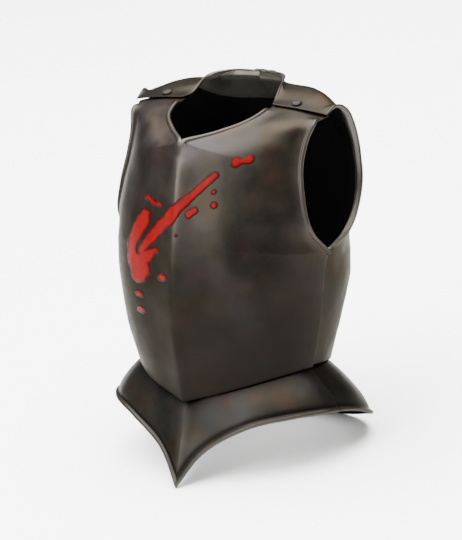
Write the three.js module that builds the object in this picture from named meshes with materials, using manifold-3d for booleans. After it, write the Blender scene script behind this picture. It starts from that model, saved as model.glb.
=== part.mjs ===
// A steel cuirass: a keeled breastplate and a backplate that lap at the shoulders and sides, each with
// its own flared skirt plate below the waist (fauld in front, culet behind). The front skirt is drawn
// down to a point. Every plate is one sheet of steel with its free edges turned and rolled.
//
// The plates are laid out as they are worn: x runs to the wearer's left, the chest faces -y, z is up,
// and the waist of the keel is at the origin. The whole cuirass is then leaned back until it stands
// on the front point and the rear edge of the culet. Millimetres.

import * as THREE from "three";
import { mergeVertices } from "three/addons/utils/BufferGeometryUtils.js";
import Module from "manifold-3d";

// ---- driving dimensions ----------------------------------------------------------------------
const STEEL = 2.0; // thickness of the sheet
const ROLL = 2.6; // radius of the rolled neck and arm edges
const SKIRT_ROLL = 3.2; // radius of the rolled lower edges
const NECK_LIP = { width: 22, lift: 7 }; // turned-out edge of the front neckline
const ARM_LIP = { width: 19, lift: 8 }; // turned-out edge of the front armhole
const SHOULDER_LIP = { width: 20, lift: 1.5 }; // beside the neck, on the backplate
const COLLAR = { bend: 24, lift: 21, reach: 60 }; // flared edge of the back neckline
const ARM_FLANGE = { bend: 17, lift: 9, reach: 19 }; // turned-out edge of the back armhole
const KEEL = { width: 40, lift: 8 }; // medial ridge of the breastplate
const RIVET = { shank: 3, hole: 3.5, head: 7.5, dome: 3, tail: 5.5 };
const RIVET_SEAT = { x: 112, y: 3, z: 420 }; // on the wearer's left, mirrored on the right
const RIVET_AXIS = { x: 0.09, y: -0.34, z: 0.94 };
const SKIRT_LAP = 11; // how far a skirt plate reaches up inside the waist

// Cross rows of the chest, from the waist up to the shoulder seam. Each row runs from the keel (or,
// above the throat, from the neckline) to the side seam (or the armhole edge). "full" is the exponent
// of the row's oval, "sweep" how much of a quarter turn the row makes, "crown" the rise of its middle.
const CHEST = [
  { inX: 0, inY: -110, inZ: 3, outX: 143.5, outY: -4, outZ: 51, full: 1.75, sweep: 90, crown: -3 },
  { inX: 0, inY: -130, inZ: 86, outX: 156, outY: -6, outZ: 111, full: 1.95, sweep: 90, crown: 0 },
  { inX: 0, inY: -140, inZ: 165, outX: 162.5, outY: -6, outZ: 168, full: 2.07, sweep: 90, crown: 0 },
  { inX: 0, inY: -139, inZ: 236, outX: 166, outY: -4, outZ: 220, full: 2.12, sweep: 90, crown: 0 },
  { inX: 0, inY: -133, inZ: 292, outX: 161, outY: -40, outZ: 256, full: 2.13, sweep: 75, crown: 0 },
  { inX: 0, inY: -125.5, inZ: 338, outX: 153, outY: -45, outZ: 299, full: 2.12, sweep: 69, crown: 0 },
  { inX: 0, inY: -118, inZ: 374, outX: 145.5, outY: -38, outZ: 343, full: 2.08, sweep: 66, crown: 0 },
  { inX: 36, inY: -87.5, inZ: 384, outX: 147, outY: -27, outZ: 378, full: 2.0, sweep: 60, crown: 2 },
  { inX: 68.5, inY: -52, inZ: 400, outX: 154, outY: -17, outZ: 399, full: 2.0, sweep: 52, crown: 3 },
  { inX: 77, inY: -4, inZ: 421.5, outX: 162, outY: 0, outZ: 409.5, full: 2.0, sweep: 46, crown: 2 },
  { inX: 77.5, inY: 10, inZ: 425.5, outX: 161.5, outY: 12, outZ: 411, full: 2.0, sweep: 46, crown: 3 },
];
const CHEST_ARMPIT = 3; // the row that ends at the foot of the armhole
const CHEST_THROAT = 6; // the row that starts at the foot of the neckline

// The same for the back, from the waist up over the shoulder to the seam.
const BACK = [
  { inX: 0, inY: 119, inZ: 35, outX: 138.5, outY: -18, outZ: 53, full: 2.9, sweep: 90, crown: 0 },
  { inX: 0, inY: 136, inZ: 100, outX: 148.5, outY: -18, outZ: 112, full: 2.95, sweep: 90, crown: 0 },
  { inX: 0, inY: 149.5, inZ: 180, outX: 157, outY: -17, outZ: 167, full: 3.0, sweep: 90, crown: 0 },
  { inX: 0, inY: 153.5, inZ: 255, outX: 158, outY: -17, outZ: 211, full: 2.95, sweep: 89, crown: 0 },
  { inX: 0, inY: 149, inZ: 316, outX: 163.5, outY: 46, outZ: 247, full: 2.75, sweep: 76, crown: 0 },
  { inX: 0, inY: 134.5, inZ: 372, outX: 166.5, outY: 72, outZ: 300, full: 2.4, sweep: 63, crown: 3 },
  { inX: 0, inY: 107.5, inZ: 415, outX: 168, outY: 67.5, outZ: 354, full: 2.2, sweep: 55, crown: 8 },
  { inX: 0, inY: 64, inZ: 439.5, outX: 169, outY: 46.5, outZ: 400.5, full: 2.1, sweep: 51, crown: 17 },
  { inX: 45.5, inY: 50, inZ: 438, outX: 167, outY: 23, outZ: 420, full: 2.0, sweep: 48, crown: 14 },
  { inX: 78, inY: -10, inZ: 422.5, outX: 165.5, outY: -2, outZ: 413.8, full: 2.0, sweep: 46, crown: 2 },
];
const BACK_ARMPIT = 3;
const BACK_THROAT = 7;

// Lower edges of the skirt plates, from the middle to the side.
const FAULD_EDGE = [
  { x: 0, y: -138, z: -119 },
  { x: 38, y: -122, z: -67 },
  { x: 99, y: -103, z: -30 },
  { x: 151, y: -69, z: -15 },
  { x: 180.5, y: -27, z: -10 },
  { x: 187, y: -1, z: -10 },
];
const CULET_EDGE = [
  { x: 0, y: 168, z: -43 },
  { x: 88, y: 159, z: -45 },
  { x: 146, y: 136, z: -36 },
  { x: 181, y: 91, z: -26 },
  { x: 188.5, y: 40, z: -14 },
  { x: 177, y: -17, z: -9 },
];

// ---- curves ------------------------------------------------------------------------------------

// Catmull-Rom through the values of one table column, not rounding off at the rows in "corners".
function along(table, key, t, corners = []) {
  const last = table.length - 1;
  const at = Math.min(Math.max(t, 0), last);
  const i = Math.min(Math.floor(at), last - 1);
  const f = at - i;
  const b = table[i][key];
  const c = table[i + 1][key];
  const a = i === 0 || corners.includes(i) ? 2 * b - c : table[i - 1][key];
  const d = i + 2 > last || corners.includes(i + 1) ? 2 * c - b : table[i + 2][key];
  const cubic = -a + 3 * b - 3 * c + d;
  const square = 2 * a - 5 * b + 4 * c - d;
  return 0.5 * (2 * b + (c - a) * f + square * f * f + cubic * f * f * f);
}

// A point of a plate: u runs along a row from its inner to its outer end, t counts rows. The corners
// of the outline are sharp only near that outline, so they leave no crease across the plate.
function onPlate(rows, armpit, throat, u, t) {
  const smooth = (key) => along(rows, key, t);
  const inner = (key) => {
    return THREE.MathUtils.lerp(smooth(key), along(rows, key, t, [throat]), (1 - u) ** 4);
  };
  const outer = (key) => THREE.MathUtils.lerp(smooth(key), along(rows, key, t, [armpit]), u ** 6);
  const power = 2 / smooth("full");
  const sweep = THREE.MathUtils.degToRad(smooth("sweep"));
  const turn = sweep * u;
  const across = (Math.sin(turn) / Math.sin(sweep)) ** power;
  const deep = (1 - Math.max(Math.cos(turn), 0) ** power) / (1 - Math.max(Math.cos(sweep), 0) ** power);
  const p = new THREE.Vector3();
  p.x = THREE.MathUtils.lerp(inner("inX"), outer("outX"), across);
  p.y = THREE.MathUtils.lerp(inner("inY"), outer("outY"), deep);
  p.z = THREE.MathUtils.lerp(inner("inZ"), outer("outZ"), across);
  p.z += smooth("crown") * 4 * across * (1 - across);
  return p;
}

function nearestOn(line, p) {
  let best = line[0];
  for (let i = 0; i + 1 < line.length; i++) {
    const place = new THREE.Vector3();
    new THREE.Line3(line[i], line[i + 1]).closestPointToPoint(p, true, place);
    if (place.distanceTo(p) < best.distanceTo(p)) best = place;
  }
  return best;
}

function distanceTo(line, p) {
  return nearestOn(line, p).distanceTo(p);
}

// How a sheet moves where its edge is turned outwards: it bends at a distance from the edge, and
// the edge rises along the normal n.
function flange(p, n, line, { bend, lift, reach }) {
  const mirrored = new THREE.Vector3(Math.abs(p.x), p.y, p.z);
  const away = nearestOn(line, mirrored).clone().sub(mirrored);
  if (p.x < 0) away.x *= -1;
  const d = away.length();
  const pull = 0.92 * d * (1 - THREE.MathUtils.smoothstep(d, 0.8 * bend, 2.6 * bend));
  const rise = lift * Math.max(1 - d / reach, 0);
  return away.normalize().multiplyScalar(pull).addScaledVector(n, rise);
}

// How far a roll of the given radius stands above its middle, at distance d from the sheet's edge.
function rollHeight(d, radius) {
  const side = d - radius;
  return Math.sqrt(Math.max(radius * radius - side * side, 0));
}

// ---- sheets ------------------------------------------------------------------------------------

// Both halves of a symmetrical sheet, sampled on rows and columns. "at(i, j)" gives the wearer's-left
// half. Rows up to "joined" share their first point with the other half.
function sampleSheet(rowCount, columnCount, joined, at) {
  const points = [];
  const faces = [];
  const ids = new Map();
  const id = (side, i, j) => {
    const key = `${j === 0 && i <= joined ? 0 : side}/${i}/${j}`;
    if (!ids.has(key)) {
      const p = at(i, j);
      ids.set(key, points.length);
      points.push(new THREE.Vector3(side * p.x, p.y, p.z));
    }
    return ids.get(key);
  };
  for (const side of [1, -1]) {
    for (let i = 0; i + 1 < rowCount; i++) {
      for (let j = 0; j + 1 < columnCount; j++) {
        const a = id(side, i, j);
        const b = id(side, i, j + 1);
        const c = id(side, i + 1, j + 1);
        const d = id(side, i + 1, j);
        const quad = side > 0 ? [a, b, c, a, c, d] : [a, c, b, a, d, c];
        faces.push(quad.slice(0, 3), quad.slice(3));
      }
    }
  }
  return { points, faces };
}

function vertexNormals(points, faces) {
  const normals = points.map(() => new THREE.Vector3());
  for (const [a, b, c] of faces) {
    const ab = points[b].clone().sub(points[a]);
    const ac = points[c].clone().sub(points[a]);
    const n = ab.cross(ac);
    for (const k of [a, b, c]) normals[k].add(n);
  }
  return normals.map((n) => n.normalize());
}

// Thickens a sheet both ways along its normals and closes it round its edges.
function thicken({ points, faces }, halfThickness) {
  const normals = vertexNormals(points, faces);
  const count = points.length;
  const outer = points.map((p, k) => p.clone().addScaledVector(normals[k], halfThickness[k]));
  const inner = points.map((p, k) => p.clone().addScaledVector(normals[k], -halfThickness[k]));
  const triangles = [];
  const used = new Set();
  for (const [a, b, c] of faces) {
    triangles.push([a, b, c], [a + count, c + count, b + count]);
    for (const [m, n] of [[a, b], [b, c], [c, a]]) used.add(`${m}>${n}`);
  }
  for (const [a, b, c] of faces) {
    for (const [m, n] of [[a, b], [b, c], [c, a]]) {
      if (used.has(`${n}>${m}`)) continue;
      triangles.push([m, m + count, n + count], [m, n + count, n]);
    }
  }
  const geometry = new THREE.BufferGeometry();
  const xyz = [...outer, ...inner].flatMap((p) => [p.x, p.y, p.z]);
  geometry.setAttribute("position", new THREE.Float32BufferAttribute(xyz, 3));
  geometry.setIndex(triangles.flat());
  return geometry;
}

// Places along a row or column of a given length: close together at rolled ends, even between.
function spaced(length, near, far, between) {
  const start = near.map((d) => d / length);
  const end = far.map((d) => 1 - d / length);
  const a = start[start.length - 1];
  const b = end[0];
  const middle = [];
  for (let k = 1; k < between; k++) middle.push(a + ((b - a) * k) / between);
  return [...start, ...middle, ...end];
}

// One body plate: its rows, its rim lips and its rolled edges.
function bodyPlate(rows, armpit, throat, rowPlaces, facing, finish) {
  const surface = (u, t) => onPlate(rows, armpit, throat, u, t);
  const edge = (u, from, to) => {
    const line = [];
    for (let k = 0; k <= 24; k++) line.push(surface(u, from + ((to - from) * k) / 24));
    return line;
  };
  const last = rows.length - 1;
  const neck = edge(0, throat, last);
  const arm = edge(1, armpit, last);
  const columnsAt = rowPlaces.map((t) => {
    const length = 1.15 * surface(0, t).distanceTo(surface(1, t));
    return spaced(length, [0, 2.6, 8, 16, 25], [34, 24, 16, 9, 2.6, 0], 5);
  });
  const joined = rowPlaces.findIndex((t) => t > throat) - 1;
  const columnCount = columnsAt[0].length;
  const flat = sampleSheet(rowPlaces.length, columnCount, joined, (i, j) => {
    return surface(columnsAt[i][j], rowPlaces[i]);
  });
  if (facing > 0) flat.faces = flat.faces.map(([a, b, c]) => [a, c, b]);
  const normals = vertexNormals(flat.points, flat.faces);
  const half = [];
  flat.points.forEach((p, k) => {
    const mirrored = new THREE.Vector3(Math.abs(p.x), p.y, p.z);
    const toNeck = distanceTo(neck, mirrored);
    const toArm = distanceTo(arm, mirrored);
    const rolled = finish(p, normals[k], { neck, arm, toNeck, toArm });
    const roll = rolled * rollHeight(Math.min(toNeck, toArm), ROLL);
    half.push(Math.max(STEEL / 2, roll));
  });
  return thicken(flat, half);
}

function lip(d, { width, lift }) {
  return lift * Math.max(1 - d / width, 0) ** 2;
}

// ---- the four plates -----------------------------------------------------------------------------

const chestPlaces = [0, 0.35, 0.75, 1.2, 1.65, 2.1, 2.55, 2.88, 2.96, 3, 3.06, 3.2, 3.5, 3.85, 4.25,
  4.65, 5.05, 5.4, 5.65, 5.82, 5.92, 6, 6.15, 6.4, 6.7, 7, 7.4, 7.8, 8.2, 8.45, 8.65, 8.85, 10];

// The lap under the backplate lies flat: the lips and rolls die away before the backplate's front end.
function breastplateGeometry() {
  const keel = (x) => KEEL.lift * Math.max(1 - Math.abs(x) / KEEL.width, 0) ** 2;
  return bodyPlate(CHEST, CHEST_ARMPIT, CHEST_THROAT, chestPlaces, -1, (p, n, { toNeck, toArm }) => {
    const low = THREE.MathUtils.smoothstep(toNeck, 0, 40);
    const front = 0.09 * (Math.abs(p.x) - 78) - 10;
    const clear = 1 - THREE.MathUtils.smoothstep(p.y, front - 15, front - 3) * (p.z > 330 ? 1 : 0);
    p.y -= keel(p.x) * low;
    p.addScaledVector(n, clear * (lip(toNeck, NECK_LIP) + lip(toArm, ARM_LIP)));
    return clear;
  });
}

const backPlaces = [0, 0.4, 0.85, 1.3, 1.75, 2.2, 2.6, 2.88, 2.96, 3, 3.06, 3.2, 3.5, 3.85, 4.25,
  4.65, 5.1, 5.55, 5.95, 6.25, 6.45, 6.6, 6.75, 6.88, 6.96, 7, 7.25, 7.55, 7.85, 8.15, 8.45, 8.75, 9];

// The tongue that reaches forward inside the breastplate's side lies flat, and so does the lap over
// the breastplate's shoulder. Behind, the neck edge is turned out into a collar.
function backplateGeometry() {
  return bodyPlate(BACK, BACK_ARMPIT, BACK_THROAT, backPlaces, 1, (p, n, { neck, arm, toNeck }) => {
    const { x, y, z } = p;
    const { smoothstep } = THREE.MathUtils;
    const shoulder = z > 330;
    const behind = smoothstep(y, 2, 40);
    const turned = shoulder ? smoothstep(y, -6, 44) : smoothstep(y, -2, 14);
    const flare = new THREE.Vector3(x / 180, 0.45 * smoothstep(y, 0, 60), 1).normalize();
    const collar = flange(p, flare, neck, COLLAR);
    const wing = flange(p, n, arm, ARM_FLANGE);
    p.set(x, y, z).addScaledVector(collar, behind).addScaledVector(wing, turned);
    p.z += lip(toNeck, SHOULDER_LIP);
    return shoulder ? smoothstep(y, -6, 16) : turned;
  });
}

// A skirt plate hangs from just inside the waist, turns out below the body plate's lower edge and
// falls more steeply towards its own rolled edge.
function skirtGeometry(body, edge, facing, insetMiddle, insetSide, rollAtSide) {
  const sides = [0, 0.025, 0.06, 0.12, 0.2, 0.29, 0.38, 0.47, 0.56, 0.65, 0.74, 0.83, 0.91, 0.96, 1];
  const edgeAt = (t) => new THREE.Vector3(along(edge, "x", t), along(edge, "y", t), along(edge, "z", t));
  const rowCount = 13;
  const sheet = sampleSheet(rowCount, sides.length, Infinity, (i, j) => {
    const u = sides[j];
    const waist = onPlate(body, CHEST_ARMPIT, CHEST_THROAT, u, 0);
    const low = edgeAt(u * (edge.length - 1));
    const out = new THREE.Vector3(low.x - waist.x, low.y - waist.y, 0).normalize();
    const inset = THREE.MathUtils.lerp(insetMiddle, insetSide, u * u);
    const top = waist.clone().addScaledVector(out, -inset);
    const row = rowCount - 1 - i;
    if (row === 0) return top.setZ(top.z + SKIRT_LAP);
    top.z -= 1;
    const drops = spaced(1.1 * top.distanceTo(low), [0, 4, 8], [6.4, 3.2, 0], 7);
    const s = drops[row - 1];
    const p = top.clone().lerp(low, s + 0.55 * s * (1 - s));
    p.z = THREE.MathUtils.lerp(top.z, low.z, s);
    return p;
  });
  if (facing > 0) sheet.faces = sheet.faces.map(([a, b, c]) => [a, c, b]);
  const rim = [];
  for (let k = 0; k <= 60; k++) rim.push(edgeAt((k / 60) * (edge.length - 1)));
  const half = sheet.points.map((p) => {
    const toRim = distanceTo(rim, new THREE.Vector3(Math.abs(p.x), p.y, p.z));
    const rolled = rollAtSide ? 1 : THREE.MathUtils.smoothstep(p.y, -2, 14);
    return Math.max(STEEL / 2, rolled * rollHeight(toRim, SKIRT_ROLL));
  });
  return thicken(sheet, half);
}

// ---- shoulder rivets -----------------------------------------------------------------------------

const wasm = await Module();
wasm.setup();

function toSolid(geometry) {
  const bare = geometry.clone();
  bare.deleteAttribute("normal");
  bare.deleteAttribute("uv");
  const merged = mergeVertices(bare, 1e-4);
  const vertProperties = new Float32Array(merged.attributes.position.array);
  const triVerts = new Uint32Array(merged.index.array);
  return new wasm.Manifold(new wasm.Mesh({ numProp: 3, vertProperties, triVerts }));
}

function toGeometry(solid) {
  const { vertProperties, triVerts } = solid.getMesh();
  const geometry = new THREE.BufferGeometry();
  geometry.setAttribute("position", new THREE.BufferAttribute(vertProperties, 3));
  geometry.setIndex(new THREE.BufferAttribute(triVerts, 1));
  return geometry;
}

// Where a line crosses a plate's two faces, as heights along the line.
function crossings(geometry, from, direction) {
  const mesh = new THREE.Mesh(geometry, new THREE.MeshBasicMaterial({ side: THREE.DoubleSide }));
  const start = from.clone().addScaledVector(direction, 40);
  const ray = new THREE.Raycaster(start, direction.clone().negate(), 0, 80);
  return ray.intersectObject(mesh).map((hit) => 40 - hit.distance).slice(0, 2);
}

// A domed head above the backplate, a shank through both plates and a hammered tail inside. The
// profile starts and ends on the rivet's own axis.
function rivetGeometry(top, bottom) {
  const head = top + 0.85;
  const tail = bottom - 0.8;
  const profile = [
    [0, tail - 1.6],
    [RIVET.tail * 0.7, tail - 1.4],
    [RIVET.tail, tail],
    [RIVET.shank, tail],
    [RIVET.shank, head],
    [RIVET.head, head],
    [RIVET.head, head + 0.6],
    [RIVET.head * 0.8, head + RIVET.dome * 0.65],
    [RIVET.head * 0.45, head + RIVET.dome * 0.93],
    [0, head + RIVET.dome],
  ];
  const lathe = new THREE.LatheGeometry(profile.map(([r, y]) => new THREE.Vector2(r, y)), 18);
  return toGeometry(toSolid(lathe));
}

let chest = breastplateGeometry();
let back = backplateGeometry();
const rivets = [];
for (const side of [1, -1]) {
  const seat = new THREE.Vector3(side * RIVET_SEAT.x, RIVET_SEAT.y, RIVET_SEAT.z);
  const axis = new THREE.Vector3(side * RIVET_AXIS.x, RIVET_AXIS.y, RIVET_AXIS.z).normalize();
  const [top] = crossings(back, seat, axis);
  const bottom = crossings(chest, seat, axis)[1];
  const turned = new THREE.Quaternion().setFromUnitVectors(new THREE.Vector3(0, 1, 0), axis);
  const drill = new THREE.CylinderGeometry(RIVET.hole, RIVET.hole, 40, 20);
  drill.applyQuaternion(turned);
  drill.translate(seat.x, seat.y, seat.z);
  chest = toGeometry(toSolid(chest).subtract(toSolid(drill)));
  back = toGeometry(toSolid(back).subtract(toSolid(drill)));
  rivets.push({ side, seat, turned, geometry: rivetGeometry(top, bottom) });
}

// ---- assembly --------------------------------------------------------------------------------------

const steel = (name, color, roughness) => {
  return new THREE.MeshStandardMaterial({ name, color, roughness, metalness: 0.9 });
};

const cuirass = new THREE.Group();

function addPiece(name, geometry, material) {
  const mesh = new THREE.Mesh(geometry, material);
  mesh.name = name;
  cuirass.add(mesh);
  return mesh;
}

const fauld = skirtGeometry(CHEST, FAULD_EDGE, -1, 2.6, 8.2, true);
const culet = skirtGeometry(BACK, CULET_EDGE, 1, 3.1, 11.4, false);
addPiece("breastplate", chest, steel("chest_steel", 0x6a6560, 0.42));
addPiece("backplate", back, steel("back_steel", 0x5c5752, 0.46));
addPiece("fauld", fauld, steel("fauld_steel", 0x625d57, 0.45));
addPiece("culet", culet, steel("culet_steel", 0x56514c, 0.48));
for (const { side, seat, turned, geometry } of rivets) {
  const name = side > 0 ? "shoulder_rivet_left" : "shoulder_rivet_right";
  const rivet = addPiece(name, geometry, steel(`${name}_steel`, 0x3a3632, 0.5));
  rivet.position.copy(seat);
  rivet.quaternion.copy(turned);
}

// The cuirass leans back until the fauld's point and the culet's rear edge are level, and then the
// whole of it is set over the origin.
function lowest(geometry, lean) {
  const p = geometry.attributes.position;
  let low = Infinity;
  for (let k = 0; k < p.count; k++) {
    low = Math.min(low, p.getZ(k) * Math.cos(lean) - p.getY(k) * Math.sin(lean));
  }
  return low;
}

let lean = 0;
for (let step = 0.2; step > 1e-7; step /= 2) {
  if (lowest(culet, lean + step) > lowest(fauld, lean + step)) lean += step;
}
cuirass.rotation.x = -lean;
const box = new THREE.Box3().setFromObject(cuirass, true);
const middle = box.getCenter(new THREE.Vector3());
cuirass.position.set(-middle.x, -middle.y, -box.min.z);

export default cuirass;
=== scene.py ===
import math

import bpy
import numpy as np
from mathutils import Matrix, Vector, noise


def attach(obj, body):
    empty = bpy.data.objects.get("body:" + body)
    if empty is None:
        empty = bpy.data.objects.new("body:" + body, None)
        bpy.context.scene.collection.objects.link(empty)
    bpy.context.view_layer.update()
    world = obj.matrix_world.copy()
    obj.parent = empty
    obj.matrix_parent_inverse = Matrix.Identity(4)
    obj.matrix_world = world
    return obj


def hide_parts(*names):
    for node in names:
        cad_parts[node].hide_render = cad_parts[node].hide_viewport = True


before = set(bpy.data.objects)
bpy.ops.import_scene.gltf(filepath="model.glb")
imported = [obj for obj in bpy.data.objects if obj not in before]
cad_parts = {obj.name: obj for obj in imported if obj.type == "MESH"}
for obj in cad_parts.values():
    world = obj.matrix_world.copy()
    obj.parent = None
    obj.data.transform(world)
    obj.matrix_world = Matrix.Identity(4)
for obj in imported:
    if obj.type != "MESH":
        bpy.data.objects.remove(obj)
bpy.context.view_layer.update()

# ---- Breastplate ---------------------------------------------------------------------------------
# The front plate of the cuirass: one sheet of dark, oiled steel, raised with a hammer over stakes
# until it has a rounded medial ridge. Its neck and arm edges are turned outwards and rolled round a
# wire. It laps over the backplate at the sides and goes under it at the shoulders.
# Lengths are millimetres, x to the wearer's left, the chest towards -y, z up from the waist.

STEEL = 2.0
ROLL = 2.6
SKIRT_ROLL = 3.2
KEEL_WIDTH, KEEL_LIFT, KEEL_ROUND = 40, 8, 5
KEEL_FADE = 40  # from the neckline, where the keel begins
NECK_LIP_WIDTH, NECK_LIP_LIFT = 22, 7
ARM_LIP_WIDTH, ARM_LIP_LIFT = 19, 8
SEAM_LIP_WIDTH, SEAM_LIP_LIFT = 20, 1.5
SHOULDER_HEIGHT = 330  # above this a point can be in a shoulder lap
LAP_FRONT, LAP_FRONT_AT, LAP_FRONT_SLOPE = -10, 78, 0.09  # the lap's front edge, as y against x
LAP_FADE_FROM, LAP_FADE_TO = -15, -3  # from that edge, where the lips of the chest die out
THIN_RIM = 0.12  # half the thickness left at the very edge of a sheet
UNLIMITED = 9  # half a thickness that never limits a plate
RIM_WEAR = 5  # how far from an edge the rubbing reaches
# half width of the painted highlight along the keel
RIDGE_HIGHLIGHT_WIDTH = 7
# how far above the waist the painted shade over the skirt's crease reaches
WAIST_SHADE_REACH = 26
RIDGE_HIGHLIGHT_HEIGHTS = (150, 300)  # heights above the waist between which the painted highlight along the keel comes in
CHEST_PAINTED_SHADE = (270, 60)  # and between which the broad painted shade of the lower part comes in, downwards
CHEST_FREE = (4, 40)  # from a lapped edge, where the hammering comes in
CHEST_HAMMERED = ((1.1, 70, 1), (0.45, 26, 2))  # as roughened takes it

# Each row of a plate runs from the keel (or the neckline) to the side seam (or the armhole). "full" is
# the exponent of its oval, "sweep" the part of a quarter turn that it makes in degrees, and "crown"
# the rise of its middle.
ROW_COLUMNS = ("in_x", "in_y", "in_z", "out_x", "out_y", "out_z", "full", "sweep", "crown")
CHEST_ROWS = (
    (0, -110, 3, 143.5, -4, 51, 1.75, 90, -3),
    (0, -130, 86, 156, -6, 111, 1.95, 90, 0),
    (0, -140, 165, 162.5, -6, 168, 2.07, 90, 0),
    (0, -139, 236, 166, -4, 220, 2.12, 90, 0),
    (0, -133, 292, 161, -40, 256, 2.13, 75, 0),
    (0, -125.5, 338, 153, -45, 299, 2.12, 69, 0),
    (0, -118, 374, 145.5, -38, 343, 2.08, 66, 0),
    (36, -87.5, 384, 147, -27, 378, 2.0, 60, 2),
    (68.5, -52, 400, 154, -17, 399, 2.0, 52, 3),
    (77, -4, 421.5, 162, 0, 409.5, 2.0, 46, 2),
    (77.5, 10, 425.5, 161.5, 12, 411, 2.0, 46, 3),
)
CHEST_ARMPIT, CHEST_THROAT = 3, 6  # the rows at the foot of the armhole and of the neckline


def smoothstep(x, low, high):
    k = np.clip((np.asarray(x, float) - low) / (high - low), 0, 1)
    return k * k * (3 - 2 * k)


def along(values, t, corners=()):
    """A smooth curve through a column of values, not rounding off at the rows in corners."""
    values = np.asarray(values, float)
    last = len(values) - 1
    t = np.clip(t, 0, last)
    i = np.minimum(np.floor(t).astype(int), last - 1)
    f = t - i
    b, c = values[i], values[i + 1]
    a = np.where((i == 0) | np.isin(i, corners), 2 * b - c, values[np.maximum(i - 1, 0)])
    d = np.where((i + 2 > last) | np.isin(i + 1, corners), 2 * c - b, values[np.minimum(i + 2, last)])
    bend = (2 * a - 5 * b + 4 * c - d) * f**2 + (-a + 3 * b - 3 * c + d) * f**3
    return 0.5 * (2 * b + (c - a) * f + bend)


def on_plate(rows, armpit, throat, u, t):
    """Points of a plate: u runs along a row from its inner to its outer end, t counts rows."""
    column = {name: [row[k] for row in rows] for k, name in enumerate(ROW_COLUMNS)}
    u, t = np.broadcast_arrays(np.asarray(u, float), np.asarray(t, float))

    def inner(name):
        smooth = along(column[name], t)
        return smooth + (along(column[name], t, [throat]) - smooth) * (1 - u) ** 4

    def outer(name):
        smooth = along(column[name], t)
        return smooth + (along(column[name], t, [armpit]) - smooth) * u**6

    power = 2 / along(column["full"], t)
    sweep = np.radians(along(column["sweep"], t))
    turn = sweep * u
    across = (np.sin(turn) / np.sin(sweep)) ** power
    deep = (1 - np.maximum(np.cos(turn), 0) ** power) / (1 - np.maximum(np.cos(sweep), 0) ** power)
    x = inner("in_x") + (outer("out_x") - inner("in_x")) * across
    y = inner("in_y") + (outer("out_y") - inner("in_y")) * deep
    z = inner("in_z") + (outer("out_z") - inner("in_z")) * across
    z = z + along(column["crown"], t) * 4 * across * (1 - across)
    return np.stack([x, y, z], -1)


FLANGE_PULL = 0.92  # how close to the edge a flange draws the sheet
FLANGE_NEAR, FLANGE_FAR = 0.8, 2.6  # in bends, where that pull is full and where it ends


def nearest_on(line, points):
    """The point of a polyline that is nearest to each point."""
    best, nearest = np.full(len(points), np.inf), np.zeros_like(points)
    for start, end in zip(line[:-1], line[1:]):
        step = end - start
        k = np.clip((points - start) @ step / (step @ step), 0, 1)
        place = start + k[:, None] * step
        distance = np.linalg.norm(points - place, axis=1)
        nearest[distance < best] = place[distance < best]
        best = np.minimum(best, distance)
    return nearest


def onto_left(points):
    """The points with those of the wearer's right mirrored to the left."""
    return np.abs(points * [1, 0, 0]) + points * [0, 1, 1]


def distance_to(line, points):
    return np.linalg.norm(points - nearest_on(line, points), axis=1)


def flange(points, normals, line, bend, lift, reach, amount):
    """Turns the edge of a plate outwards: the sheet is drawn to the edge from that bend and rises by
    lift over that reach."""
    half = onto_left(points)
    away = nearest_on(line, half) - half
    away[:, 0] *= np.sign(points[:, 0])
    distance = np.linalg.norm(away, axis=1)
    pull = FLANGE_PULL * (1 - smoothstep(distance, FLANGE_NEAR * bend, FLANGE_FAR * bend))
    rise = lift * np.maximum(1 - distance / reach, 0)
    return (away * pull[:, None] + normals * rise[:, None]) * amount[:, None]


def graded(length, near, far, gap):
    """Places from 0 to length: at the distances in near and far from its ends, else about gap apart."""
    steps = max(int((length - near[-1] - far[-1]) / gap), 1)
    middle = np.linspace(near[-1], length - far[-1], steps + 1)[1:-1]
    return np.concatenate([near, middle, length - np.asarray(far)[::-1]])


# Distances from an edge at which the fine meshes have rows: a rolled edge's and a plain one's.
ROLL_STEPS = (0, 0.25, 0.8, 1.6, 2.6, 3.6, 4.4, 5.0, 5.4, 6.2, 7.6, 9.6, 12.2, 15.4, 19)
PLAIN_STEPS = (0, 0.5, 1.2, 2.4, 4.2)
KNOT_STEPS = ROLL_STEPS[:12]  # and those near the armpit and the throat
SAMPLES = 60  # points taken along a curve to measure it
ROW_SLACK = 1.15  # a row's length against the straight line between its ends


def body_places(rows, armpit, throat, gap):
    """Rows of the fine mesh as values of t, closer together at the armpit, throat and ends."""
    knots = [0, armpit, throat, len(rows) - 1]
    places = []
    for low, high in zip(knots[:-1], knots[1:]):
        ts = np.linspace(low, high, SAMPLES)
        column = on_plate(rows, armpit, throat, 0.5, ts)
        run = np.concatenate([[0], np.cumsum(np.linalg.norm(np.diff(column, axis=0), axis=1))])
        near = PLAIN_STEPS if low == 0 else KNOT_STEPS
        far = PLAIN_STEPS if high == len(rows) - 1 else KNOT_STEPS
        at = graded(run[-1], near, far, gap)
        places.append(np.interp(at, run, ts))
    return np.concatenate([places[0], places[1][1:], places[2][1:]])


def mirrored_grid(at, joined):
    """Both halves of a sheet from the wearer's-left half, at[row, column] = point. Rows up to joined
    share their first point with the other half."""
    count_i, count_j = at.shape[:2]
    ids = np.zeros((2, count_i, count_j), int)
    points = []
    for s, side in enumerate((1, -1)):
        for i in range(count_i):
            for j in range(count_j):
                if s and j == 0 and i <= joined:
                    ids[s, i, j] = ids[0, i, j]
                    continue
                ids[s, i, j] = len(points)
                x, y, z = at[i, j]
                points.append((0 if j == 0 and i <= joined else side * x, y, z))
    quads = []
    for s in (0, 1):
        a, b = ids[s, :-1, :-1].ravel(), ids[s, :-1, 1:].ravel()
        c, d = ids[s, 1:, 1:].ravel(), ids[s, 1:, :-1].ravel()
        quads.append(np.stack([a, b, c, d] if s == 0 else [a, d, c, b], -1))
    return np.array(points), np.concatenate(quads)


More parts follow.
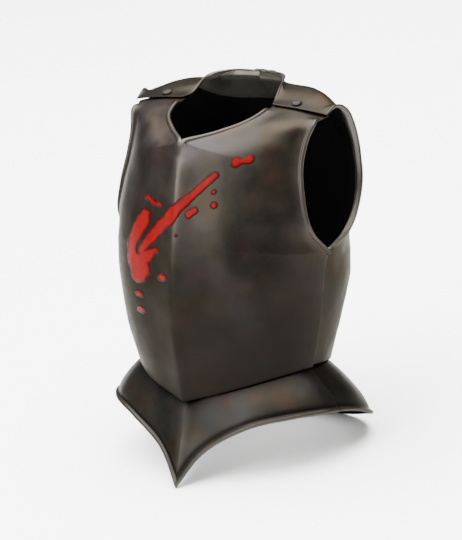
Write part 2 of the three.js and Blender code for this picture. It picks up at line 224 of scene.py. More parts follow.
def point_normals(points, quads):
    corners = points[quads]
    face = np.cross(corners[:, 2] - corners[:, 0], corners[:, 3] - corners[:, 1])
    normals = np.zeros_like(points)
    for k in range(4):
        np.add.at(normals, quads[:, k], face)
    return normals / np.maximum(np.linalg.norm(normals, axis=1), 1e-9)[:, None]


def rolled(distance, radius):
    """Half the thickness of a sheet whose edge is rolled to that radius, at a distance from the edge."""
    round_edge = np.sqrt(np.maximum(radius**2 - (distance - radius) ** 2, 0))
    least = np.where(distance < radius, THIN_RIM, STEEL / 2)
    return np.maximum(round_edge, least)


def uneven(points, size, seed):
    """Smooth noise from -1 to 1 over the points, with hollows about that many millimetres apart."""
    shift = Vector((seed * 7.3, seed * 3.1, seed * 5.7))
    return np.array([noise.noise(Vector(p) / size + shift) for p in points])


def roughened(points, layers):
    """Layers of smooth unevenness, each (depth, size, seed), added up."""
    return sum(depth * uneven(points, size, seed) for depth, size, seed in layers)


# The cuirass stands on the fauld's point and the culet's rear edge, leaning back.
LEAN = math.radians(13.8459)
STAND = np.array([0, -29.1626, 82.8676])


def stand(points):
    """From the worn frame in millimetres to the standing frame in metres."""
    x, y, z = points.T
    cos, sin = math.cos(LEAN), math.sin(LEAN)
    turned = np.stack([x, y * cos + z * sin, z * cos - y * sin], 1)
    return (turned + STAND) / 1000


def thick_sheet(name, points, quads, half, marks):
    """A closed plate: the sheet thickened by half each way. marks are values for each point of the
    sheet, kept as attributes. The attribute inside is 1 on the inner face."""
    normals = point_normals(points, quads)
    count = len(points)
    both = np.concatenate([points + normals * half[:, None], points - normals * half[:, None]])
    directed = np.concatenate([quads[:, [k, (k + 1) % 4]] for k in range(4)])
    keys = directed[:, 0] * count + directed[:, 1]
    open_edges = directed[~np.isin(directed[:, 1] * count + directed[:, 0], keys)]
    a, b = open_edges.T
    faces = np.concatenate([quads, quads[:, ::-1] + count, np.stack([b, a, a + count, b + count], 1)])
    mesh = bpy.data.meshes.new(name)
    mesh.from_pydata(stand(both).tolist(), [], faces.tolist())
    mesh.shade_smooth()
    values = {key: np.tile(value, 2) for key, value in marks.items()}
    values["inside"] = np.repeat([0.0, 1.0], count)
    for key, value in values.items():
        mesh.attributes.new(key, "FLOAT", "POINT").data.foreach_set("value", value.astype(np.float32))
    piece = bpy.data.objects.new(name, mesh)
    bpy.context.scene.collection.objects.link(piece)
    return piece


def edge_line(rows, armpit, throat, u, low, high):
    return on_plate(rows, armpit, throat, u, np.linspace(low, high, SAMPLES))


def reach_of(rows, armpit, throat, points):
    """How far each point of a body plate is from each of the plate's edges."""
    last = len(rows) - 1
    lines = {
        "neck": edge_line(rows, armpit, throat, 0, throat, last),
        "arm": edge_line(rows, armpit, throat, 1, armpit, last),
        "side": edge_line(rows, armpit, throat, 1, 0, armpit),
        "seam": on_plate(rows, armpit, throat, np.linspace(0, 1, 40), last),
        "waist": on_plate(rows, armpit, throat, np.linspace(0, 1, SAMPLES), 0),
    }
    half_points = onto_left(points)
    return {name: distance_to(line, half_points) for name, line in lines.items()}


def body_sheet(rows, armpit, throat, facing, gap):
    """The fine mid-surface of a body plate with its distances to its edges."""
    places = body_places(rows, armpit, throat, gap)
    ends = on_plate(rows, armpit, throat, np.array([[0, 1]]), places[:, None])
    lengths = ROW_SLACK * np.linalg.norm(ends[:, 1] - ends[:, 0], axis=1)
    middle = int(max(lengths) / gap)
    near, far = np.array(ROLL_STEPS), np.array(ROLL_STEPS)
    between = np.linspace(0, 1, middle)[1:-1]
    columns = []
    for length in lengths:
        start, end = near / length, 1 - far[::-1] / length
        columns.append(np.concatenate([start, start[-1] + (end[0] - start[-1]) * between, end]))
    at = on_plate(rows, armpit, throat, np.array(columns), places[:, None])
    joined = int(np.searchsorted(places, throat + 1e-9)) - 1
    points, quads = mirrored_grid(at, joined)
    if facing > 0:
        quads = quads[:, ::-1]
    return points, quads, reach_of(rows, armpit, throat, points)


def lip(distance, width, lift):
    return lift * np.maximum(1 - distance / width, 0) ** 2


def trimmed(half, distance):
    """Half thickness with the plain edge at that distance rounded off."""
    return np.minimum(half, np.where(distance < STEEL / 2, rolled(distance, STEEL / 2), UNLIMITED))


def plate_half(reach, clear):
    """Half thickness: rolled neck and arm edges where clear is 1, and a plain rounded edge elsewhere."""
    turned = np.minimum(reach["neck"], reach["arm"])
    plain = np.minimum(np.minimum(reach["side"], reach["seam"]), reach["waist"])
    roll = rolled(turned, ROLL)
    half = roll * clear + np.minimum(rolled(turned, STEEL / 2), STEEL / 2) * (1 - clear)
    return trimmed(half, plain)


def keel(x):
    rounded = np.sqrt(x * x + KEEL_ROUND**2) - KEEL_ROUND
    return KEEL_LIFT * np.maximum(1 - rounded / KEEL_WIDTH, 0) ** 2


def beaten(points, quads, reach):
    """The bare front sheet given its keel, its turned lips and the hammer's unevenness. Also returns
    how far each point is clear of the shoulder lap, from 0 to 1."""
    normals = point_normals(points, quads)
    lap_front = LAP_FRONT_SLOPE * (abs(points[:, 0]) - LAP_FRONT_AT) + LAP_FRONT
    lapped = smoothstep(points[:, 1] - lap_front, LAP_FADE_FROM, LAP_FADE_TO)
    clear = 1 - lapped * (points[:, 2] > SHOULDER_HEIGHT)
    forward = keel(points[:, 0]) * smoothstep(reach["neck"], 0, KEEL_FADE)
    lips = lip(reach["neck"], NECK_LIP_WIDTH, NECK_LIP_LIFT)
    lips += lip(reach["arm"], ARM_LIP_WIDTH, ARM_LIP_LIFT)
    free = smoothstep(np.minimum(reach["side"], reach["seam"]), *CHEST_FREE)
    raised = clear * lips + free * roughened(points, CHEST_HAMMERED)
    return points - forward[:, None] * [0, 1, 0] + normals * raised[:, None], clear


GAP = 5  # between the points of the fine meshes
points, quads, reach = body_sheet(CHEST_ROWS, CHEST_ARMPIT, CHEST_THROAT, -1, GAP)
points, clear = beaten(points, quads, reach)
marks = {
    "rim": np.exp(-np.minimum(reach["neck"], reach["arm"]) / RIM_WEAR) * clear,
    # painted light: a lighter band on the inside face near the neck
    "painted_light_band": np.exp(-reach["neck"] / 9),
    # painted shade: darker near the waist, over the lower chest and along the side edge
    "painted_shade": np.max([
        np.exp(-reach["waist"] / WAIST_SHADE_REACH),
        0.8 * smoothstep(reach["waist"], *CHEST_PAINTED_SHADE),
        0.9 * np.exp(-reach["side"] / 3),
    ], axis=0),
    # painted highlight along the upper keel
    "ridge_highlight": np.exp(-((points[:, 0] / RIDGE_HIGHLIGHT_WIDTH) ** 2)) * smoothstep(reach["waist"], *RIDGE_HIGHLIGHT_HEIGHTS),
}
breastplate = thick_sheet("breastplate_steel", points, quads, plate_half(reach, clear), marks)


def linear(hex_colour):
    """An sRGB colour such as "#6a6560" as linear RGBA."""
    parts = [int(hex_colour[k : k + 2], 16) / 255 for k in (1, 3, 5)]
    return [p / 12.92 if p <= 0.04045 else ((p + 0.055) / 1.055) ** 2.4 for p in parts] + [1]


def node(tree, kind, links=None, **settings):
    """Adds a node, sets its properties or its inputs by name, and links sockets into its inputs."""
    made = tree.nodes.new(kind)
    for key, value in settings.items():
        if hasattr(made, key):
            setattr(made, key, value)
    for key, value in settings.items():
        if not hasattr(made, key):
            made.inputs[key.replace("_", " ")].default_value = value
    for key, socket in (links or {}).items():
        tree.links.new(socket, made.inputs[key])
    return made


def ramp(tree, factor, stops):
    made = node(tree, "ShaderNodeValToRGB", {"Fac": factor})
    elements = made.color_ramp.elements
    while len(elements) > 1:
        elements.remove(elements[-1])
    for k, (place, colour) in enumerate(stops):
        element = elements[0] if k == 0 else elements.new(place)
        element.position = place
        element.color = linear(colour) if isinstance(colour, str) else (colour, colour, colour, 1)
    return made


def mix(tree, factor, a, b, blend="MIX"):
    made = node(tree, "ShaderNodeMix", data_type="RGBA", blend_type=blend)
    for socket, value in (("Factor", factor), ("A", a), ("B", b)):
        target = next(s for s in made.inputs if s.name == socket and s.enabled)
        if isinstance(value, bpy.types.NodeSocket):
            tree.links.new(value, target)
        else:
            target.default_value = value
    return next(s for s in made.outputs if s.enabled)


def math_node(tree, operation, a, b=0.5, clamp=False):
    made = node(tree, "ShaderNodeMath", operation=operation, use_clamp=clamp)
    for k, value in enumerate((a, b)):
        if isinstance(value, bpy.types.NodeSocket):
            tree.links.new(value, made.inputs[k])
        else:
            made.inputs[k].default_value = value
    return made.outputs[0]


def mark(tree, name):
    return node(tree, "ShaderNodeAttribute", attribute_name=name).outputs["Fac"]


def noise_at(tree, place, millimetres, detail=3, rough=0.55, seed=0):
    """Noise whose lumps are about that many millimetres apart."""
    moved = node(tree, "ShaderNodeVectorMath", {0: place}, operation="ADD")
    moved.inputs[1].default_value = (seed * 1.37, seed * 2.11, seed * 0.73)
    made = node(tree, "ShaderNodeTexNoise", {"Vector": moved.outputs[0]})
    made.inputs["Scale"].default_value = 1000 / millimetres
    made.inputs["Detail"].default_value = detail
    made.inputs["Roughness"].default_value = rough
    return made.outputs["Fac"]


def oiled_steel(name, shades, seed):
    """Plate steel, hammered, roughly polished and left dark with old oil. It gives the eye a brown
    black metal with broad soft lights, faint brown, green and blue tarnish, brighter rolled edges
    where hands and straps have rubbed it, a painted highlight along the keel, painted shade towards
    the waist, along laps and in grooves, a painted lighter band on the inside faces near the edges,
    and the other inside faces painted near black as painted shade."""
    material = bpy.data.materials.new(name)
    material.use_nodes = True
    tree = material.node_tree
    shader = tree.nodes["Principled BSDF"]
    place = node(tree, "ShaderNodeTexCoord").outputs["Object"]
    broad = noise_at(tree, place, 90, 2, 0.5, seed)
    cloud = noise_at(tree, place, 34, 4, 0.6, seed + 3)
    fine = noise_at(tree, place, 6, 3, 0.6, seed + 5)
    dark, mid, light = shades
    colour = ramp(tree, broad, [(0.32, dark), (0.52, mid), (0.72, light)]).outputs[0]
    tint = noise_at(tree, place, 60, 2, 0.5, seed + 9)
    tarnish = ramp(
        tree, tint, [(0.3, "#33211a"), (0.42, "#262820"), (0.55, "#20282a"), (0.68, "#302324")]
    ).outputs[0]
    colour = mix(tree, 0.2, colour, tarnish)
    mottle = ramp(tree, cloud, [(0.35, 0.88), (0.65, 1.08)]).outputs[0]
    colour = mix(tree, 1.0, colour, mottle, "MULTIPLY")
    # Rubbed rolled edges (real wear) and a painted highlight along the keel, lightened together.
    wear_and_highlight = math_node(tree, "MULTIPLY", mark(tree, "rim"), 0.55)
    wear_and_highlight = math_node(tree, "ADD", wear_and_highlight, math_node(tree, "MULTIPLY", mark(tree, "ridge_highlight"), 0.35), True)
    colour = mix(tree, wear_and_highlight, colour, linear("#45413c"))
    # Painted shade: the marked places are darkened almost to black.
    painted_shade_amount = math_node(tree, "MULTIPLY", mark(tree, "painted_shade"), 0.97)
    colour = mix(tree, painted_shade_amount, colour, linear("#060403"))
    # Painted light: the inside faces near the neck and arm edges get a lighter band where they show.
    lit_band_amount = math_node(tree, "MULTIPLY", mark(tree, "inside"), mark(tree, "painted_light_band"))
    colour = mix(tree, lit_band_amount, colour, linear("#3f3d38"))
    # Painted shade: the rest of the inside faces are painted near black, with little specular, almost no
    # metal and more roughness, so they show as the shadow inside the shell.
    inside = math_node(tree, "SUBTRACT", mark(tree, "inside"), mark(tree, "painted_light_band"), True)
    inside = math_node(tree, "GREATER_THAN", inside, 0.5)
    colour = mix(tree, inside, colour, linear("#020202"))
    tree.links.new(colour, shader.inputs["Base Color"])
    glint = ramp(tree, inside, [(0.0, 0.5), (1.0, 0.05)]).outputs[0]
    tree.links.new(glint, shader.inputs["Specular IOR Level"])
    metal = math_node(tree, "MULTIPLY_ADD", inside, -0.9)
    metal.node.inputs[2].default_value = 0.93
    tree.links.new(metal, shader.inputs["Metallic"])
    shader.inputs["Specular Tint"].default_value = linear("#c2c1be")
    sheen = ramp(tree, cloud, [(0.3, 0.4), (0.7, 0.5)]).outputs[0]
    rough = math_node(tree, "ADD", sheen, math_node(tree, "MULTIPLY", inside, 0.5), True)
    tree.links.new(rough, shader.inputs["Roughness"])
    planished = noise_at(tree, place, 15, 1, 0.4, seed + 12)
    height = math_node(tree, "ADD", planished, math_node(tree, "MULTIPLY", fine, 0.22))
    bump = node(tree, "ShaderNodeBump", {"Height": height}, Strength=0.35, Distance=0.0006)
    tree.links.new(bump.outputs[0], shader.inputs["Normal"])
    return material


chest_steel = oiled_steel("oiled_plate_steel_chest", ("#1b1611", "#241e1a", "#2d2929"), 1)
breastplate.data.materials.append(chest_steel)
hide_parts("breastplate")
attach(breastplate, "root")

# ---- Red splash ----------------------------------------------------------------------------------
# Red paint thrown across the chest from the wearer's left: one long streak over the keel, a wide
# blot where it ran together on the wearer's right, and flecks around them. A thin glossy film with
# a rounded edge, lying on the steel.

SPLASH = {
    "streak": (
        (54, 332, 6),
        (42, 321, 6.5),
        (32, 310, 6.2),
        (23, 302, 7),
        (15, 294, 8),
        (3, 281, 8.6),
        (-15, 263, 8.4),
        (-35, 247, 7.8),
        (-53, 229, 6.2),
        (-65, 216, 5.5),
    ),
    "upper blot": ((-59, 271, 7), (-63, 260, 9), (-73, 245, 9), (-84, 229, 7.5), (-88, 216, 6)),
    "lower blot": ((-36, 220, 5), (-55, 210, 9), (-67, 202, 11), (-66, 191, 13), (-70, 179, 10)),
    "blot side": ((-86, 222, 6), (-85, 205, 8), (-78, 192, 9)),
    "twin": ((-56, 293, 4.6), (-47, 288, 4), (-39, 285, 4.8), (-31, 286, 4.2)),
    "high pair": ((80, 351, 7.6), (88, 353, 4), (95, 355, 7)),
    "fleck 1": ((55, 309, 4.8),),
    "fleck 2": ((57, 291, 5.6),),
    "fleck 3": ((22, 276, 6.8), (30, 282, 5.6)),
    "fleck 4": ((6, 246, 3.4),),
    "fleck 5": ((-19, 183, 6.4),),
    "fleck 6": ((-70, 154, 5.6),),
    "fleck 7": ((-69, 131, 6),),
}
SPLASH_DRAWN_OUT = 1.8
SPLASH_THICK = 0.6
SPLASH_BED = 0.7  # how deep the film reaches into the steel
SPLASH_RAGGED = ((1.5, 10, 21), (0.8, 4, 22))  # how uneven its edge is
SPLASH_DEEP = 5  # how far in from its edge its colour is at its fullest
SPLASH_ROUND = 4  # how far in from its edge the film is at its full thickness
SPLASH_FRINGE = 2.2  # how far the mesh goes on outside the film's edge, below the steel's face
FRINGE_SLOPE, FRINGE_DEPTH = 0.35, 0.5
FILM_LOW, FILM_HIGH = 1.0, 6.9  # rows of the chest between which the film is meshed
FILM_ACROSS = 0.72  # and how far it goes along a row
FILM_HEIGHT, FILM_WIDTH = 280, 130  # about how large that area is
FAR_OUTSIDE = -99.0


def stroke_depth(x, z, stroke):
    """How far points are inside a stroke, a chain of (x, z, radius). It is drawn out in x where it
    went round the body, on the wearer's right of the keel."""
    best = np.full(len(x), FAR_OUTSIDE)
    places = [(a if a > 0 else a / SPLASH_DRAWN_OUT, b, radius) for a, b, radius in stroke]
    flat = np.stack([np.where(x > 0, x, x / SPLASH_DRAWN_OUT), z], 1)
    for start, end in zip(places, places[1:] or places):
        start, end = np.array(start), np.array(end)
        step = end[:2] - start[:2]
        k = np.clip((flat - start[:2]) @ step / max(step @ step, 1e-9), 0, 1)
        distance = np.linalg.norm(flat - start[:2] - k[:, None] * step, axis=1)
        best = np.maximum(best, start[2] + k * (end[2] - start[2]) - distance)
    return best


film_cell = 1.4
heights = np.linspace(FILM_LOW, FILM_HIGH, int(FILM_HEIGHT / film_cell))
across = np.linspace(0, FILM_ACROSS, int(FILM_WIDTH / film_cell))
at = on_plate(CHEST_ROWS, CHEST_ARMPIT, CHEST_THROAT, across[None, :], heights[:, None])
points, quads = mirrored_grid(at, int(np.searchsorted(heights, CHEST_THROAT)) - 1)
reach = reach_of(CHEST_ROWS, CHEST_ARMPIT, CHEST_THROAT, points)
x, _, z = points.T
depth = np.max([stroke_depth(x, z, stroke) for stroke in SPLASH.values()], axis=0)
depth += roughened(points, SPLASH_RAGGED)
points, clear = beaten(points, quads, reach)
wet = quads[(depth[quads] > -SPLASH_FRINGE).all(axis=1)]
used = np.unique(wet)
normals = point_normals(points, quads)[used]
points, wet, depth = points[used], np.searchsorted(used, wet), depth[used]
rounded = SPLASH_THICK * np.sqrt(np.clip(depth / SPLASH_ROUND, 0, 1))
fringe = np.maximum(FRINGE_SLOPE * depth, -FRINGE_DEPTH)
film = np.where(depth > 0, rounded, fringe)
middle = STEEL / 2 + (film - SPLASH_BED) / 2
marks = {"depth": np.clip(depth / SPLASH_DEEP, 0, 1)}
points = points + normals * middle[:, None]
splash = thick_sheet("red_splash", points, wet, (film + SPLASH_BED) / 2, marks)

# Glossy red paint, dried on the steel. It gives the eye an even deep red that is darker and browner at
# the thin edges of each drop, with a slightly uneven gloss.
paint = bpy.data.materials.new("glossy_red_paint")
paint.use_nodes = True
tree = paint.node_tree
shader = tree.nodes["Principled BSDF"]
place = node(tree, "ShaderNodeTexCoord").outputs["Object"]
thick = mark(tree, "depth")
uneven_coat = math_node(tree, "MULTIPLY", noise_at(tree, place, 9, 3), 0.3)
shade = math_node(tree, "ADD", thick, uneven_coat)
stops = [(0.14, "#100000"), (0.45, "#240000"), (0.9, "#4e0000")]
tree.links.new(ramp(tree, shade, stops).outputs[0], shader.inputs["Base Color"])
gloss = ramp(tree, noise_at(tree, place, 12, 3, 0.6, 2), [(0.3, 0.4), (0.7, 0.55)])
tree.links.new(gloss.outputs[0], shader.inputs["Roughness"])
shader.inputs["Specular IOR Level"].default_value = 0.05
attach(splash, "root")
splash.data.materials.append(paint)

# ---- Backplate -----------------------------------------------------------------------------------
# The rear plate, of the same steel in darker colours as painted shade, boxier than the chest. It
# comes over the shoulders and lies on top of the breastplate there, and its sides reach forward
# inside the breastplate. Its neck edge is raised into a short standing collar, with a painted
# lighter band on its inside face where it shows.

BACK_ROWS = (
    (0, 119, 35, 138.5, -18, 53, 2.9, 90, 0),
    (0, 136, 100, 148.5, -18, 112, 2.95, 90, 0),
    (0, 149.5, 180, 157, -17, 167, 3.0, 90, 0),
    (0, 153.5, 255, 158, -17, 211, 2.95, 89, 0),
    (0, 149, 316, 163.5, 46, 247, 2.75, 76, 0),
    (0, 134.5, 372, 166.5, 72, 300, 2.4, 63, 3),
    (0, 107.5, 415, 168, 67.5, 354, 2.2, 55, 8),
    (0, 64, 439.5, 169, 46.5, 400.5, 2.1, 51, 17),
    (45.5, 50, 438, 167, 23, 420, 2.0, 48, 14),
    (78, -10, 422.5, 165.5, -2, 413.8, 2.0, 46, 2),
)
BACK_ARMPIT, BACK_THROAT = 3, 7
COLLAR = (24, 21, 60)  # bend, lift and reach, as flange takes them
ARM_FLANGE = (17, 9, 19)
BEHIND = (2, 40)  # y from the front of the lap to where the collar is at its full height
TURNED_SHOULDER = (-6, 44)  # the same for the armhole's flange, on the shoulder
TURNED_SIDE = (-2, 14)  # and at the side
CLEAR_SHOULDER = (-6, 16)
FLARE_WIDTH, FLARE_BACK, FLARE_FULL = 180, 0.45, 60  # which way the collar leans as it rises
# heights between which the painted shade of the lower back comes in, downwards
BACK_PAINTED_SHADE = (230, 60)
BACK_FREE = (16, 50)
BACK_HAMMERED = ((1.3, 60, 3), (0.5, 24, 4))
COLLAR_PAINTED_LIGHT, ARM_PAINTED_LIGHT = (60, 48), (30, 20)  # how far inside the edges the painted light band goes
# how far the painted shadow along the breastplate's side edge reaches
LAP_SHADE_REACH = 7

points, quads, reach = body_sheet(BACK_ROWS, BACK_ARMPIT, BACK_THROAT, 1, GAP)
normals = point_normals(points, quads)
high = points[:, 2] > SHOULDER_HEIGHT
behind = smoothstep(points[:, 1], *BEHIND)
at_side = smoothstep(points[:, 1], *TURNED_SIDE)
clear = np.where(high, smoothstep(points[:, 1], *CLEAR_SHOULDER), at_side)
turned = np.where(high, smoothstep(points[:, 1], *TURNED_SHOULDER), at_side)
free = smoothstep(np.minimum(reach["side"], reach["seam"]), *BACK_FREE)
beaten_out = free * roughened(points, BACK_HAMMERED)
last = len(BACK_ROWS) - 1
neckline = edge_line(BACK_ROWS, BACK_ARMPIT, BACK_THROAT, 0, BACK_THROAT, last)
armhole = edge_line(BACK_ROWS, BACK_ARMPIT, BACK_THROAT, 1, BACK_ARMPIT, last)
backwards = FLARE_BACK * smoothstep(points[:, 1], 0, FLARE_FULL)
flare = np.stack([points[:, 0] / FLARE_WIDTH, backwards, np.ones(len(points))], 1)
flare /= np.linalg.norm(flare, axis=1)[:, None]
collar = flange(points, flare, neckline, *COLLAR, behind)
wing = flange(points, normals, armhole, *ARM_FLANGE, turned)
points += collar + wing + normals * beaten_out[:, None]
points[:, 2] += lip(reach["neck"], SEAM_LIP_WIDTH, SEAM_LIP_LIFT)
lap_edge = edge_line(CHEST_ROWS, CHEST_ARMPIT, CHEST_THROAT, 1, 0, CHEST_ARMPIT)
by_lap = distance_to(lap_edge, onto_left(points))
marks = {
    "rim": np.exp(-np.minimum(reach["neck"], reach["arm"]) / RIM_WEAR) * clear,
    # painted light: a lighter band on the inside faces near the collar and armhole
    "painted_light_band": np.maximum(
        smoothstep(reach["neck"], *COLLAR_PAINTED_LIGHT),
        smoothstep(reach["arm"], *ARM_PAINTED_LIGHT),
    ),
    # painted shade: darker near the waist, over the lower back and as a painted shadow along the
    # breastplate's side edge
    "painted_shade": np.max([
        np.exp(-reach["waist"] / WAIST_SHADE_REACH),
        0.6 * smoothstep(reach["waist"], *BACK_PAINTED_SHADE),
        np.exp(-by_lap / LAP_SHADE_REACH),
    ], axis=0),
    "ridge_highlight": np.zeros(len(points)),
}
backplate = thick_sheet("backplate_steel", points, quads, plate_half(reach, clear), marks)
# Darker than the chest's steel as painted shade, to keep the upward facing shoulders from showing too
# bright.
back_steel = oiled_steel("oiled_plate_steel_back", ("#15110d", "#1c1610", "#231e18"), 4)
backplate.data.materials.append(back_steel)
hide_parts("backplate")
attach(backplate, "root")

# ---- Fauld ---------------------------------------------------------------------------------------
# The front skirt plate: it hangs from just inside the waist, turns out below the breastplate's edge
# and falls to a point in front. One sheet of the same steel, with its lower edge rolled.

SKIRT_LAP = 11  # how far a skirt plate reaches up inside the waist
GROOVE_PLACE, GROOVE_WIDTH, GROOVE_DEPTH = 9, 3.5, 0.9  # above the rolled edge
SKIRT_HALF_ROUND, SKIRT_DROP = 230, 110  # about how long and how deep a skirt plate's half is
SKIRT_SWELL = 0.55  # how soon it swings out below the waist
LAP_STEPS = (1, 0.97, 0.9, 0.75, 0.5, 0.25)  # rows of the lap, from its top down
FRONT_STEPS = np.array([0, 0.004, 0.012])
END_STEPS = np.array([0, 0.002, 0.006, 0.012, 0.02])
FOOT_STEPS = (0, 1, 2.2, 4, 6.5, 9)  # rows just below the waist
END_FREE, TOP_FREE = (6, 40), (16, 40)
FAULD_HAMMERED = ((0.9, 45, 5), (0.35, 20, 6))

# Lower edges of the skirt plates as (x, y, z), from the middle to the side.
FAULD_EDGE = (
    (0, -138, -119),
    (38, -122, -67),
    (99, -103, -30),
    (151, -69, -15),
    (180.5, -27, -10),
    (187, -1, -10),
)


def skirt_sheet(rows, edge, facing, inset_middle, inset_side):
    """The fine mid-surface of a skirt plate and its distance to the rolled edge."""
    edge = np.array(edge, float)

    def edge_at(t):
        return np.stack([along(edge[:, k], t) for k in range(3)], -1)

    sides = graded(1.0, FRONT_STEPS, END_STEPS, GAP / SKIRT_HALF_ROUND)
    drops = graded(SKIRT_DROP, FOOT_STEPS, ROLL_STEPS, GAP) / SKIRT_DROP
    waist = on_plate(rows, CHEST_ARMPIT, CHEST_THROAT, sides, 0.0)
    low = edge_at(sides * (len(edge) - 1))
    out = (low - waist) * [1, 1, 0]
    out /= np.linalg.norm(out, axis=1)[:, None]
    inset = inset_middle + (inset_side - inset_middle) * sides**2
    top = waist - out * inset[:, None]
    rows_of_points = [top + [0, 0, SKIRT_LAP * k] for k in LAP_STEPS]
    top = top - [0, 0, 1]
    for s in drops:
        p = top + (low - top) * (s + SKIRT_SWELL * s * (1 - s))
        p[:, 2] = top[:, 2] + (low[:, 2] - top[:, 2]) * s
        rows_of_points.append(p)
    at = np.array(rows_of_points)[::-1]
    points, quads = mirrored_grid(at, len(at))
    if facing > 0:
        quads = quads[:, ::-1]
    half_points = onto_left(points)
    reach = {
        "edge": distance_to(edge_at(np.linspace(0, len(edge) - 1, 120)), half_points),
        "end": distance_to(at[:, -1], half_points),
        "top": distance_to(at[-1], half_points),
    }
    return points, quads, reach


def skirt_piece(name, sheet, roll_mask, waves):
    points, quads, reach = sheet
    half = rolled(reach["edge"], SKIRT_ROLL) * roll_mask + (1 - roll_mask) * STEEL / 2
    plain = np.minimum(reach["end"], reach["top"])
    half = trimmed(half, plain)
    normals = point_normals(points, quads)
    across_groove = (reach["edge"] - GROOVE_PLACE) / GROOVE_WIDTH
    groove = GROOVE_DEPTH * np.exp(-(across_groove**2)) * roll_mask
    free = smoothstep(reach["end"], *END_FREE) * smoothstep(reach["top"], *TOP_FREE)
    points = points + normals * (free * waves - groove)[:, None]
    # Painted shade under the breastplate's edge at the waist and in the groove above the rolled edge.
    under_waist = np.exp(-np.maximum(reach["top"] - SKIRT_LAP - 1, 0) / 9)
    in_groove = np.exp(-(((reach["edge"] - GROOVE_PLACE - 1) / 4) ** 2))
    marks = {
        "rim": np.exp(-reach["edge"] / RIM_WEAR) * roll_mask,
        "painted_light_band": np.zeros(len(points)),
        "painted_shade": under_waist + 0.9 * in_groove,
        # painted highlight along the front crest
        "ridge_highlight": 0.6 * np.exp(-((points[:, 0] / RIDGE_HIGHLIGHT_WIDTH) ** 2)) * (points[:, 1] < 0),
    }
    return thick_sheet(name, points, quads, half, marks)


FAULD_INSET = (2.6, 8.2)  # from the plate above, in the middle and at the side
sheet = skirt_sheet(CHEST_ROWS, FAULD_EDGE, -1, *FAULD_INSET)
waves = roughened(sheet[0], FAULD_HAMMERED)
fauld = skirt_piece("fauld_steel", sheet, 1.0, waves)
# Darker than the chest's steel as painted shade, to keep the upward facing skirt from showing the
# overhead light too bright.
fauld_steel = oiled_steel("oiled_plate_steel_fauld", ("#100d0b", "#16120f", "#1e1a17"), 7)
fauld.data.materials.append(fauld_steel)
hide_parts("fauld")
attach(fauld, "root")

# ---- Culet ---------------------------------------------------------------------------------------
# The rear skirt plate, the same again, blunt behind. The cuirass stands on its rear edge. Its ends
# reach forward inside the fauld and are left flat there.

CULET_EDGE = (
    (0, 168, -43),
    (88, 159, -45),
    (146, 136, -36),
    (181, 91, -26),
    (188.5, 40, -14),
    (177, -17, -9),
)

CULET_INSET = (3.1, 11.4)
CULET_HAMMERED = ((0.9, 45, 7), (0.35, 20, 8))
sheet = skirt_sheet(BACK_ROWS, CULET_EDGE, 1, *CULET_INSET)
waves = roughened(sheet[0], CULET_HAMMERED)
roll_mask = smoothstep(sheet[0][:, 1], *TURNED_SIDE)
culet = skirt_piece("culet_steel", sheet, roll_mask, waves)
# Darker than the chest's steel as painted shade, as the fauld is.
culet_steel = oiled_steel("oiled_plate_steel_culet", ("#110e0c", "#171310", "#1f1b18"), 10)
culet.data.materials.append(culet_steel)
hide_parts("culet")
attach(culet, "root")

# ---- Shoulder rivets -----------------------------------------------------------------------------
# One iron rivet through each shoulder lap, its head hammered to a low dome and left black.


def black_iron(name):
    """Forged iron, black with scale and oil. It gives the eye a near black, slightly shiny dome."""
    material = bpy.data.materials.new(name)
    material.use_nodes = True
    tree = material.node_tree
    shader = tree.nodes["Principled BSDF"]
    place = node(tree, "ShaderNodeTexCoord").outputs["Object"]
    scale = noise_at(tree, place, 2.5, 3)
    blacks = ramp(tree, scale, [(0.3, "#0c0a09"), (0.7, "#1f1b19")]).outputs[0]
    tree.links.new(blacks, shader.inputs["Base Color"])
    tree.links.new(ramp(tree, scale, [(0.3, 0.4), (0.7, 0.6)]).outputs[0], shader.inputs["Roughness"])
    bump = node(tree, "ShaderNodeBump", {"Height": scale}, Strength=0.4, Distance=0.0003)
    tree.links.new(bump.outputs[0], shader.inputs["Normal"])
    shader.inputs["Metallic"].default_value = 0.85
    return material


iron = black_iron("forged_black_iron")
for side in ("left", "right"):
    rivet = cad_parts[f"shoulder_rivet_{side}"]
    rivet.data.materials.clear()
    rivet.data.materials.append(iron)

# ---- Floor, light and camera ---------------------------------------------------------------------
# A plain pale floor, broad soft lights and a camera at the cuirass's front left.

FLOOR_HALF = 6
floor_corners = [(x * FLOOR_HALF, y * FLOOR_HALF, 0) for x, y in ((-1, -1), (1, -1), (1, 1), (-1, 1))]
floor_mesh = bpy.data.meshes.new("floor")
floor_mesh.from_pydata(floor_corners, [], [(0, 1, 2, 3)])
floor = bpy.data.objects.new("floor", floor_mesh)
bpy.context.scene.collection.objects.link(floor)
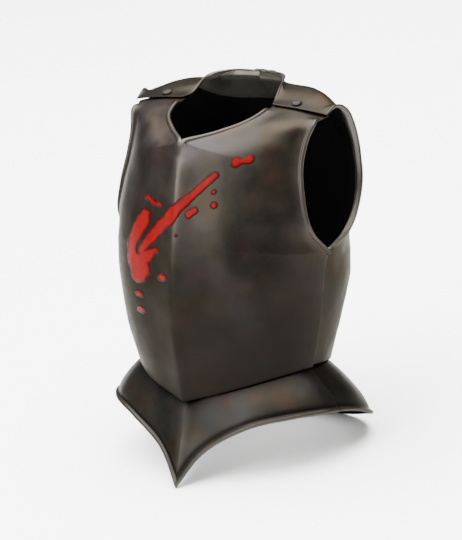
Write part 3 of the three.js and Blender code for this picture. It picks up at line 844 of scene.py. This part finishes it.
# Matt white paper. It gives the eye a plain, even ground without a sheen.
paper = bpy.data.materials.new("matt_white_paper")
paper.use_nodes = True
shader = paper.node_tree.nodes["Principled BSDF"]
shader.inputs["Base Color"].default_value = linear("#f4f4f2")
shader.inputs["Roughness"].default_value = 0.9
floor_mesh.materials.append(paper)

world = bpy.data.worlds.new("studio")
world.use_nodes = True
background = world.node_tree.nodes["Background"]
background.inputs["Color"].default_value = linear("#ffffff")
background.inputs["Strength"].default_value = 0.6
bpy.context.scene.world = world


def soft_light(name, place, aim, size, watts):
    data = bpy.data.lights.new(name, "AREA")
    data.shape, data.size, data.energy = "SQUARE", size, watts
    lamp = bpy.data.objects.new(name, data)
    lamp.location = place
    lamp.rotation_mode = "QUATERNION"
    lamp.rotation_quaternion = (Vector(aim) - Vector(place)).to_track_quat("-Z", "Y")
    bpy.context.scene.collection.objects.link(lamp)


soft_light("overhead", place=(-0.4, 0.3, 3.4), aim=(0, 0.6, 0), size=5, watts=1500)
soft_light("key", place=(-0.35, -1.9, 1.25), aim=(0, 0, 0.35), size=0.8, watts=60)

# The camera goes round the worn cuirass's centre. It is aimed a little to one side and below it.
AZIMUTH, ELEVATION = math.radians(34.8), math.radians(8.5)
DISTANCE = 8600
LENS, SENSOR = 400.187, 36
CENTRE = np.array([0, 0, 200])
AIM_RIGHT, AIM_UP = -0.5, -21.8
to_eye = np.array([
    math.sin(AZIMUTH) * math.cos(ELEVATION),
    -math.cos(AZIMUTH) * math.cos(ELEVATION),
    math.sin(ELEVATION),
])
rightwards = np.array([math.cos(AZIMUTH), math.sin(AZIMUTH), 0])
upwards = np.cross(to_eye, rightwards)
eye = CENTRE + DISTANCE * to_eye
looked_at = CENTRE + AIM_RIGHT * rightwards + AIM_UP * upwards
eye, looked_at, above = (Vector(stand(p[None])[0]) for p in (eye, looked_at, eye + 1000 * upwards))
back = (eye - looked_at).normalized()
right = (above - eye).cross(back).normalized()
camera_data = bpy.data.cameras.new("camera")
camera_data.sensor_width = SENSOR
camera_data.lens = LENS
camera = bpy.data.objects.new("camera", camera_data)
turn = Matrix((right, back.cross(right), back)).transposed().to_4x4()
camera.matrix_world = Matrix.Translation(eye) @ turn
bpy.context.scene.collection.objects.link(camera)
bpy.context.scene.camera = camera
